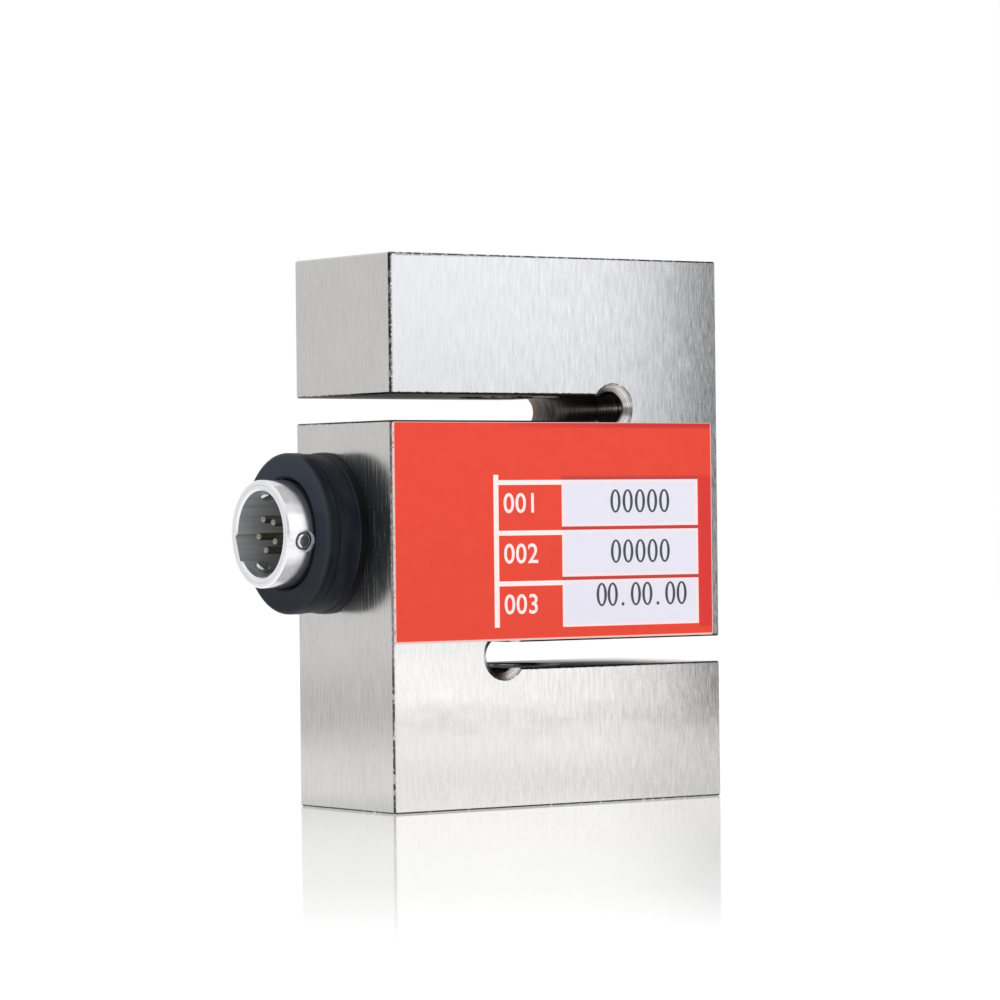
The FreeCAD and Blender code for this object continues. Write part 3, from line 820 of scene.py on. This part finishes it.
seal = Finish("seal_rubber", (0.028, 0.028, 0.03), 0.0, 0.6)
at = seal.place()
rubber_bloom_and_top_light = seal.noise(at, 2.0, 4.0)
seal.set(Base_Color=seal.tint(rubber_bloom_and_top_light, (0.020, 0.020, 0.022), (0.048, 0.048, 0.050)))
seal.set(Roughness=0.5 + rubber_bloom_and_top_light * 0.2)
seal.bump(seal.noise(at, 10.0, 2.0), 0.01)
seal.dress("face_seal")

# %% [markdown]
# The board's glass weave is two noises pulled out crosswise, and its row of solder pads repeats at
# one pitch, which a Ping-Pong node folds out of the height. The resistors have tinned ends.

# %% Etch the board and fire the resistors
board_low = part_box("terminal_board")[0]
laminate = Finish("board_green", (0.04, 0.26, 0.12), 0.0, 0.35, Coat_Weight=0.4)
at = laminate.place()
x, y, z = laminate.axes(at)
weave = laminate.noise(at, 6.0, 2.0, (1, 1, 0.3)) * 0.5 + laminate.noise(at, 6.0, 2.0, (0.3, 1, 1)) * 0.5
pad_pitch = 2.1
pad_x = board_low.x / MM + 2.6
pads = laminate.band(x, pad_x - 0.85, pad_x + 0.85) * laminate.band(z, middle_z - 5.0, middle_z + 5.0)
pad_phase = laminate.math("PINGPONG", z - (middle_z - 2 * pad_pitch), pad_pitch / 2)
pads = pads * laminate.ramp(0.7 - pad_phase, 0.0, 0.05)
mask_green = laminate.tint(weave, (0.025, 0.20, 0.09), (0.06, 0.33, 0.15))
laminate.set(Base_Color=laminate.tint(pads, mask_green, (0.80, 0.74, 0.60)), Metallic=pads * 0.9)
laminate.set(Roughness=0.3 + weave * 0.15)
laminate.bump(weave * 0.4 + pads * 0.6, 0.02)
laminate.dress("terminal_board")

chip = Finish("resistor_ceramic", (0.045, 0.045, 0.05), 0.0, 0.4)
at = chip.place()
chip_low, chip_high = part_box("trim_resistor_lower")
x = chip.axes(at)[0]
ends = 1 - chip.band(x, chip_low.x / MM + 0.55, chip_high.x / MM - 0.55, 0.02)
fired = chip.noise(at, 6.0, 3.0)
glaze = chip.tint(fired, (0.030, 0.030, 0.035), (0.060, 0.060, 0.065))
chip.set(Base_Color=chip.tint(ends, glaze, (0.72, 0.72, 0.73)), Metallic=ends, Roughness=0.3 + fired * 0.2)
chip.bump(fired, 0.01)
chip.dress("trim_resistor_lower", "trim_resistor_upper")

# %% [markdown]
# Five wires lead from the board to the connector, each in its own colour. Drawing the sheath leaves
# faint lines along it.

# %% Sheath the wires
WIRE_COLORS = {
    "black": (0.03, 0.03, 0.032),
    "green": (0.03, 0.30, 0.08),
    "white": (0.78, 0.78, 0.76),
    "red": (0.55, 0.03, 0.025),
    "yellow": (0.72, 0.55, 0.04),
}
for number, (color_name, color) in enumerate(WIRE_COLORS.items(), start=1):
    sheath = Finish(f"wire_sheath_{color_name}", color, 0.0, 0.35)
    at = sheath.place()
    drawn = sheath.noise(at, 6.0, 2.0, (0.1, 0.1, 1))
    darker = [part * 0.85 for part in color]
    lighter = [part * 1.12 for part in color]
    sheath.set(Base_Color=sheath.tint(drawn, darker, lighter))
    sheath.set(Roughness=0.3 + drawn * 0.15)
    sheath.bump(drawn, 0.004)
    sheath.dress(f"lead_wire_{number}")

# %% [markdown]
# A foil gauge is a zigzag of foil on an amber film. Folding one coordinate back and forth with a
# Ping-Pong node draws the long loops; two bands cut out the solder tabs.

# %% Etch the gauges
gauge_low, gauge_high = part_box("strain_gauge_right_upper")
gauge_x = (gauge_low.x + gauge_high.x) / 2 / MM
foil = Finish("gauge_foil", (0.70, 0.45, 0.15), 0.0, 0.4, Coat_Weight=0.3)
at = foil.place()
x, y, z = foil.axes(at)
along = abs(abs(x) - gauge_x)
folded = foil.ramp(foil.math("PINGPONG", y + 1.6, 0.14), 0.05, 0.08)
loops = folded * foil.band(along, -1.0, 1.6) * foil.band(y, -1.1, 1.1)
film = foil.noise(at, 1.5, 3.0)
amber = foil.tint(film, (0.62, 0.36, 0.09), (0.78, 0.52, 0.18))
foil.set(Base_Color=foil.tint(loops, amber, (0.62, 0.60, 0.56)), Metallic=loops * 0.9)
foil.set(Roughness=0.32 + film * 0.12)
foil.bump(loops * 0.5 + film * 0.3, 0.01)
foil.dress(*[name for name in nodes if name.startswith("strain_gauge")])

# %% [markdown]
# A ribbon's copper tracks run its whole length, so one band beside its middle line draws them.

# %% Etch the ribbons
ribbon = Finish("tail_film", (0.65, 0.40, 0.12), 0.0, 0.35, Coat_Weight=0.3)
at = ribbon.place()
x = ribbon.axes(at)[0]
tracks = ribbon.band(abs(abs(abs(x) - gauge_x) - 0.25), -1.0, 0.1, 0.03)
film = ribbon.noise(at, 2.0, 3.0)
amber = ribbon.tint(film, (0.56, 0.32, 0.08), (0.74, 0.48, 0.16))
ribbon.set(Base_Color=ribbon.tint(tracks * 0.8, amber, (0.70, 0.33, 0.14)), Roughness=0.3 + film * 0.15)
ribbon.bump(tracks * 0.5 + film * 0.3, 0.01)
ribbon.dress(*[name for name in nodes if name.startswith("gauge_tail")])

# %% [markdown]
# ## Screw threads
#
# Each end of the block is tapped M12 x 1.75. The frame has plain holes at the thread's outer radius,
# so the turns are new pieces that stand on the hole's wall. A thread is one small profile carried
# round and along an axis at once, which is exactly what the spin operator does when it is also given
# a step along the axis. The turns start below the face and run past the slot behind, so that two
# cuts can end them flush, as the tap leaves them. One helper makes such a cut.

# %% End a mesh flush
def end_flush(mesh, height, direction):
    """Cuts a mesh at a height, drops what lies beyond and closes the cut."""
    parts = [*mesh.verts, *mesh.edges, *mesh.faces]
    cut = bmesh.ops.bisect_plane(
        mesh, geom=parts, plane_co=(0, 0, height), plane_no=(0, 0, direction), clear_outer=True)
    rims = [part for part in cut["geom_cut"] if isinstance(part, bmesh.types.BMEdge)]
    bmesh.ops.edgenet_fill(mesh, edges=rims)


# %% [markdown]
# The profile is a trapezium whose root lies just inside the hole's wall. After the cuts, the crests
# are trimmed by the cone of the mouth.

# %% Cut the threads
PITCH = 1.75
THREAD_RADIUS = 6.0
CREST_RADIUS = 5.1
ROOT_HALF = 0.78
CREST_HALF = 0.22
SUNK = 0.04
STEPS_PER_TURN = 60


def thread(name, face_z, inward):
    """The turns of an internal thread from a load face to the slot behind it."""
    turns = math.ceil(outer_wall / PITCH) + 2
    mesh = bmesh.new()
    root = THREAD_RADIUS + SUNK
    outline = [
        (root, -ROOT_HALF), (root, ROOT_HALF), (CREST_RADIUS, CREST_HALF), (CREST_RADIUS, -CREST_HALF)]
    profile = mesh.faces.new([mesh.verts.new((radius, 0, rise)) for radius, rise in outline])
    bmesh.ops.spin(
        mesh, geom=[profile, *profile.edges, *profile.verts], cent=(0, 0, 0), axis=(0, 0, 1),
        dvec=(0, 0, PITCH / STEPS_PER_TURN), angle=2 * math.pi * turns, steps=STEPS_PER_TURN * turns,
        use_merge=False, use_duplicate=False)
    bmesh.ops.translate(mesh, verts=mesh.verts, vec=(0, 0, -PITCH))
    end_flush(mesh, 0.05, -1)
    end_flush(mesh, outer_wall - 0.25, 1)
    for vertex in mesh.verts:
        radius = math.hypot(vertex.co.x, vertex.co.y)
        trimmed = max(radius, min(THREAD_RADIUS, MOUTH_RADIUS - vertex.co.z))
        vertex.co.x *= trimmed / radius
        vertex.co.y *= trimmed / radius
    if inward < 0:
        bmesh.ops.rotate(mesh, verts=mesh.verts, cent=(0, 0, 0), matrix=Matrix.Rotation(math.pi, 3, "X"))
    bmesh.ops.scale(mesh, verts=mesh.verts, vec=(MM, MM, MM))
    bmesh.ops.translate(mesh, verts=mesh.verts, vec=(0, 0, face_z))
    bmesh.ops.recalc_face_normals(mesh, faces=mesh.faces)
    piece = make_piece(name, mesh, plated.material)
    piece.data.shade_smooth()
    piece.data.set_sharp_from_angle(angle=math.radians(25))
    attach(piece, "root")


thread("lower_thread_turns", body_low.z, 1)
thread("upper_thread_turns", body_high.z, -1)
print("each thread has", round(outer_wall / PITCH, 1), "turns")

# %% [markdown]
# ## Printed figures
#
# The figures are printed in a dark blue-black ink, which has faded unevenly. They could be masks on
# the plate as well, but round shapes are easier to draw as thin pieces that lie on it.

# %% Mix the dark ink
dark_ink = Finish("print_dark", (0.03, 0.032, 0.05), 0.0, 0.45)
at = dark_ink.place()
fade = dark_ink.noise(at, 2.5, 3.0)
dark_ink.set(Base_Color=dark_ink.tint(fade, (0.022, 0.024, 0.040), (0.060, 0.062, 0.085)))
dark_ink.set(Roughness=0.4 + fade * 0.15)
print(dark_ink.material.name, "has", len(dark_ink.tree.nodes), "nodes")

# %% [markdown]
# A drawing is made flat, in millimetres from the plate's lower left corner, and is then stood up on
# the plate's face.

# %% Stand a drawing on the plate
def flat_piece(name, mesh, material):
    """Makes a piece of a flat drawing that is measured from the plate's lower left corner."""
    bmesh.ops.rotate(mesh, verts=mesh.verts, cent=(0, 0, 0), matrix=Matrix.Rotation(math.pi / 2, 3, "X"))
    bmesh.ops.scale(mesh, verts=mesh.verts, vec=(MM, MM, MM))
    bmesh.ops.translate(mesh, verts=mesh.verts, vec=label_low)
    bmesh.ops.recalc_face_normals(mesh, faces=mesh.faces)
    piece = make_piece(name, mesh, material)
    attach(piece, "root")


# %% [markdown]
# The value fields hold plain noughts in a narrow printer's style, heavy at the sides and thin at the
# top and bottom. Two ellipses joined by a bridge make that shape better than a stretched font does.
# The ink is a hundredth of a millimetre thick, so it reads as print and still catches its own edge.

# %% Draw noughts and points
INK = 0.01


def thicken(mesh, faces):
    """Raises flat faces by the thickness of the ink."""
    raised = bmesh.ops.extrude_face_region(mesh, geom=faces)["geom"]
    lifted = [part for part in raised if isinstance(part, bmesh.types.BMVert)]
    bmesh.ops.translate(mesh, verts=lifted, vec=(0, 0, INK))


def nought(mesh, left, bottom, width=1.5, height=2.75):
    """An upright nought with heavy sides."""
    loops = []
    for share_x, share_y in ((1.0, 1.0), (0.50, 0.84)):
        made = bmesh.ops.create_circle(mesh, segments=40, radius=0.5)["verts"]
        bmesh.ops.scale(mesh, verts=made, vec=(width * share_x, height * share_y, 1))
        bmesh.ops.translate(mesh, verts=made, vec=(left + width / 2, bottom + height / 2, 0))
        loops += [edge for edge in mesh.edges if all(vert in made for vert in edge.verts)]
    thicken(mesh, bmesh.ops.bridge_loops(mesh, edges=loops)["faces"])


def full_point(mesh, left, bottom, size=0.42):
    """A printed point."""
    made = bmesh.ops.create_circle(mesh, segments=16, radius=size / 2, cap_ends=True)["verts"]
    bmesh.ops.translate(mesh, verts=made, vec=(left, bottom + size / 2, 0))
    thicken(mesh, [face for face in mesh.faces if all(vert in made for vert in face.verts)])


# %% [markdown]
# The upper two fields each hold five noughts in a row. The lowest holds three pairs with a point
# between them.

# %% Print the values
figures = bmesh.new()
for left in (7.05, 8.85, 10.65, 12.45, 14.25):
    nought(figures, FIELD_LEFT + left, FIELD_BOTTOM + 2 * ROW_PITCH + 1.55)
    nought(figures, FIELD_LEFT + left, FIELD_BOTTOM + ROW_PITCH + 1.5)
for left in (4.9, 6.5, 9.9, 11.6, 15.0, 16.7):
    nought(figures, FIELD_LEFT + left, FIELD_BOTTOM + 2.3)
for left in (8.75, 13.9):
    full_point(figures, FIELD_LEFT + left, FIELD_BOTTOM + 2.3)
flat_piece("value_figures", figures, dark_ink.material)

# %% [markdown]
# The rows' names are plain numbers in white, and here a font does well. Each text is turned into a
# mesh, because only a mesh can take its place into its own points.

# %% Print the row numbers
white_ink = Finish("print_white", (0.93, 0.80, 0.78), 0.0, 0.4)
at = white_ink.place()
thin = white_ink.noise(at, 2.0, 3.0)
white_ink.set(Base_Color=white_ink.tint(thin, (0.88, 0.68, 0.66), (0.95, 0.84, 0.82)))
white_ink.set(Roughness=0.38 + thin * 0.12)
numbers = bmesh.new()
for row, words in enumerate(("003", "002", "001")):
    curve = bpy.data.curves.new("row_number", "FONT")
    curve.body = words
    curve.size = 3.2
    curve.space_character = 1.05
    curve.offset = 0.035
    curve.extrude = INK / 2
    text = bpy.data.objects.new("row_number", curve)
    bpy.context.scene.collection.objects.link(text)
    bpy.context.view_layer.update()
    evaluated = text.evaluated_get(bpy.context.evaluated_depsgraph_get())
    drawn = bpy.data.meshes.new_from_object(evaluated)
    corner = (UPRIGHT_RIGHT + 0.65, FIELD_BOTTOM + 1.7 + row * ROW_PITCH, INK / 2)
    drawn.transform(Matrix.Translation(corner))
    numbers.from_mesh(drawn)
    bpy.data.objects.remove(text)
flat_piece("row_numbers", numbers, white_ink.material)

# %% [markdown]
# ## The studio
#
# The block stands on a plain white table in a white room. The room is seen white, but it lights the
# matt surfaces a little less than that, so its strength depends on the kind of ray that meets it.

# %% Paint the room
world = bpy.data.worlds.new("white_room")
bpy.context.scene.world = world
world.use_nodes = True
room = Graph(world.node_tree)
ROOM_LEVEL = 0.80
seen = room.node("ShaderNodeLightPath", output="Is Camera Ray")
for kind in ("Is Glossy Ray", "Is Transmission Ray"):
    seen = room.math("MAXIMUM", seen, room.node("ShaderNodeLightPath", output=kind))
backdrop = room.tree.nodes["Background"]
room.feed(backdrop.inputs["Strength"], room.between(seen, ROOM_LEVEL, 1.0))
room.feed(backdrop.inputs["Color"], (1.0, 1.0, 1.0, 1.0))
print("white room:", len(room.tree.nodes), "nodes")

# %% [markdown]
# Polished things take their looks from what stands round them, so the room needs more than light.
# Bright panels at the front right fill the brushed face and low strips light its foot, panels at
# the back left do the same for the end, and dark cards draw the shade at the face's far end and
# along the edges. They show in reflections alone, so they change neither the colours nor the
# shadows.

# %% Make a glowing card
def bare_material(name):
    """A new material and its graph, empty but for the output."""
    material = bpy.data.materials.new(name)
    material.use_nodes = True
    graph = Graph(material.node_tree)
    graph.tree.nodes.remove(graph.tree.nodes["Principled BSDF"])
    return material, graph


def card(name, left, right, low, high, brightness):
    """A glowing upright rectangle over two foot points. Low brightness makes it a dark card."""
    mesh = bmesh.new()
    feet = [mesh.verts.new((*point, low)) for point in (left, right)]
    foot = mesh.edges.new(feet)
    tops = bmesh.ops.extrude_edge_only(mesh, edges=[foot])["geom"]
    raised = [part for part in tops if isinstance(part, bmesh.types.BMVert)]
    bmesh.ops.translate(mesh, verts=raised, vec=(0, 0, high - low))
    bmesh.ops.scale(mesh, verts=mesh.verts, vec=(MM, MM, MM))
    material, graph = bare_material(name)
    graph.show(graph.node("ShaderNodeEmission", None, {"Strength": brightness}))
    held = make_piece(name, mesh, material)
    held.visible_camera = False
    held.visible_diffuse = False
    held.visible_shadow = False
    held.visible_transmission = False


# %% [markdown]
# Each call gives two foot points on the table, the lower and the upper edge, all in millimetres, and
# the brightness next to a white of 1.

# %% Stand the panels and cards round the block
card("bright_panel", (10, -232), (180, -147), 58, 210, 1.50)
card("middle_panel", (10, -232), (180, -147), 12, 58, 1.15)
card("low_panel", (60, -262), (200, -245), 1, 10, 3.1)
card("near_strip", (0, -88), (46, -54), 1, 6, 1.65)
card("upper_strip", (0, -88), (46, -54), 6, 10, 1.30)
card("near_card", (48, -50), (69, 6), 7, 124, 0.10)
card("right_card", (213, -205), (287, -75), 1, 190, 0.22)
card("top_card", (150, -90), (150, 4), 190, 330, 0.10)
card("camera_card", (-504, -193), (-356, -407), 1, 365, 0.10)
card("back_panel", (-400, 150), (-60, 390), 9, 330, 0.85)
card("back_strip", (-204, 118), (-72, 210), 1, 9, 0.70)
card("back_foot", (-165, 84), (-42, 164), 0.5, 6, 0.66)

# %% [markdown]
# Two soft lamps give the matt pieces their gentle light and shade, one from the front left and one
# from above. They stay out of reflections, where they would show as bright squares.

# %% Hang the lamps
def lamp(name, centre, size, power):
    """A soft lamp that faces the block's middle and doesn't show in reflections."""
    light = bpy.data.lights.new(name, "AREA")
    light.shape = "SQUARE"
    light.size = size
    light.energy = power
    holder = bpy.data.objects.new(name, light)
    bpy.context.scene.collection.objects.link(holder)
    holder.location = Vector(centre) * MM
    holder.rotation_euler = (body_middle - holder.location).to_track_quat("-Z", "Y").to_euler()
    holder.visible_camera = False
    holder.visible_glossy = False
    print(name, round((holder.location - body_middle).length / MM), "mm from the block's middle")


lamp("key_lamp", (-250, -600, 500), 0.6, 1.6)
lamp("top_lamp", (100, 200, 800), 0.8, 1.5)

# %% [markdown]
# The table is mostly a glow of plain white, so that it meets the white room without a horizon, with a
# share of matt white that takes the block's shadow. Its polish is strongest under the block and fades
# towards the camera, so the block's mirror image stands sharp at its foot and is gone further out.

# %% Lay the table
TABLE_HALF = 4.0
TABLE_GAP = 0.02 * MM
white_material, white_table = bare_material("white_table")
at = white_table.place()
depth = white_table.along(at, ahead)
sideways = white_table.along(at, rightward)
near_polish = white_table.ramp(depth, -190, -118) * 0.36 + white_table.ramp(depth, -118, -20) * 0.20
polish = near_polish * white_table.band(sideways, -38, 28, 3.0)
glow = white_table.node("ShaderNodeEmission", None, {"Strength": 1.10})
matt = white_table.node("ShaderNodeBsdfDiffuse", None, {"Color": (1, 1, 1, 1)})
gloss = white_table.node("ShaderNodeBsdfGlossy", None, {"Color": (1, 1, 1, 1), "Roughness": 0.06})
pale = white_table.node("ShaderNodeMixShader", None, {0: 0.3, 1: glow, 2: matt})
polished = white_table.node("ShaderNodeMixShader", None, {0: polish, 1: pale, 2: gloss})
white_table.show(polished)
mesh = bmesh.new()
bmesh.ops.create_grid(mesh, x_segments=2, y_segments=2, size=TABLE_HALF)
bmesh.ops.translate(mesh, verts=mesh.verts, vec=(0, 0, body_low.z - TABLE_GAP))
table_top = make_piece("table_top", mesh, white_material)

# %% [markdown]
# Last, the picture shows colours as they are, without a film curve.

# %% Show colours as they are
bpy.context.scene.view_settings.view_transform = "Standard"
bpy.context.view_layer.update()
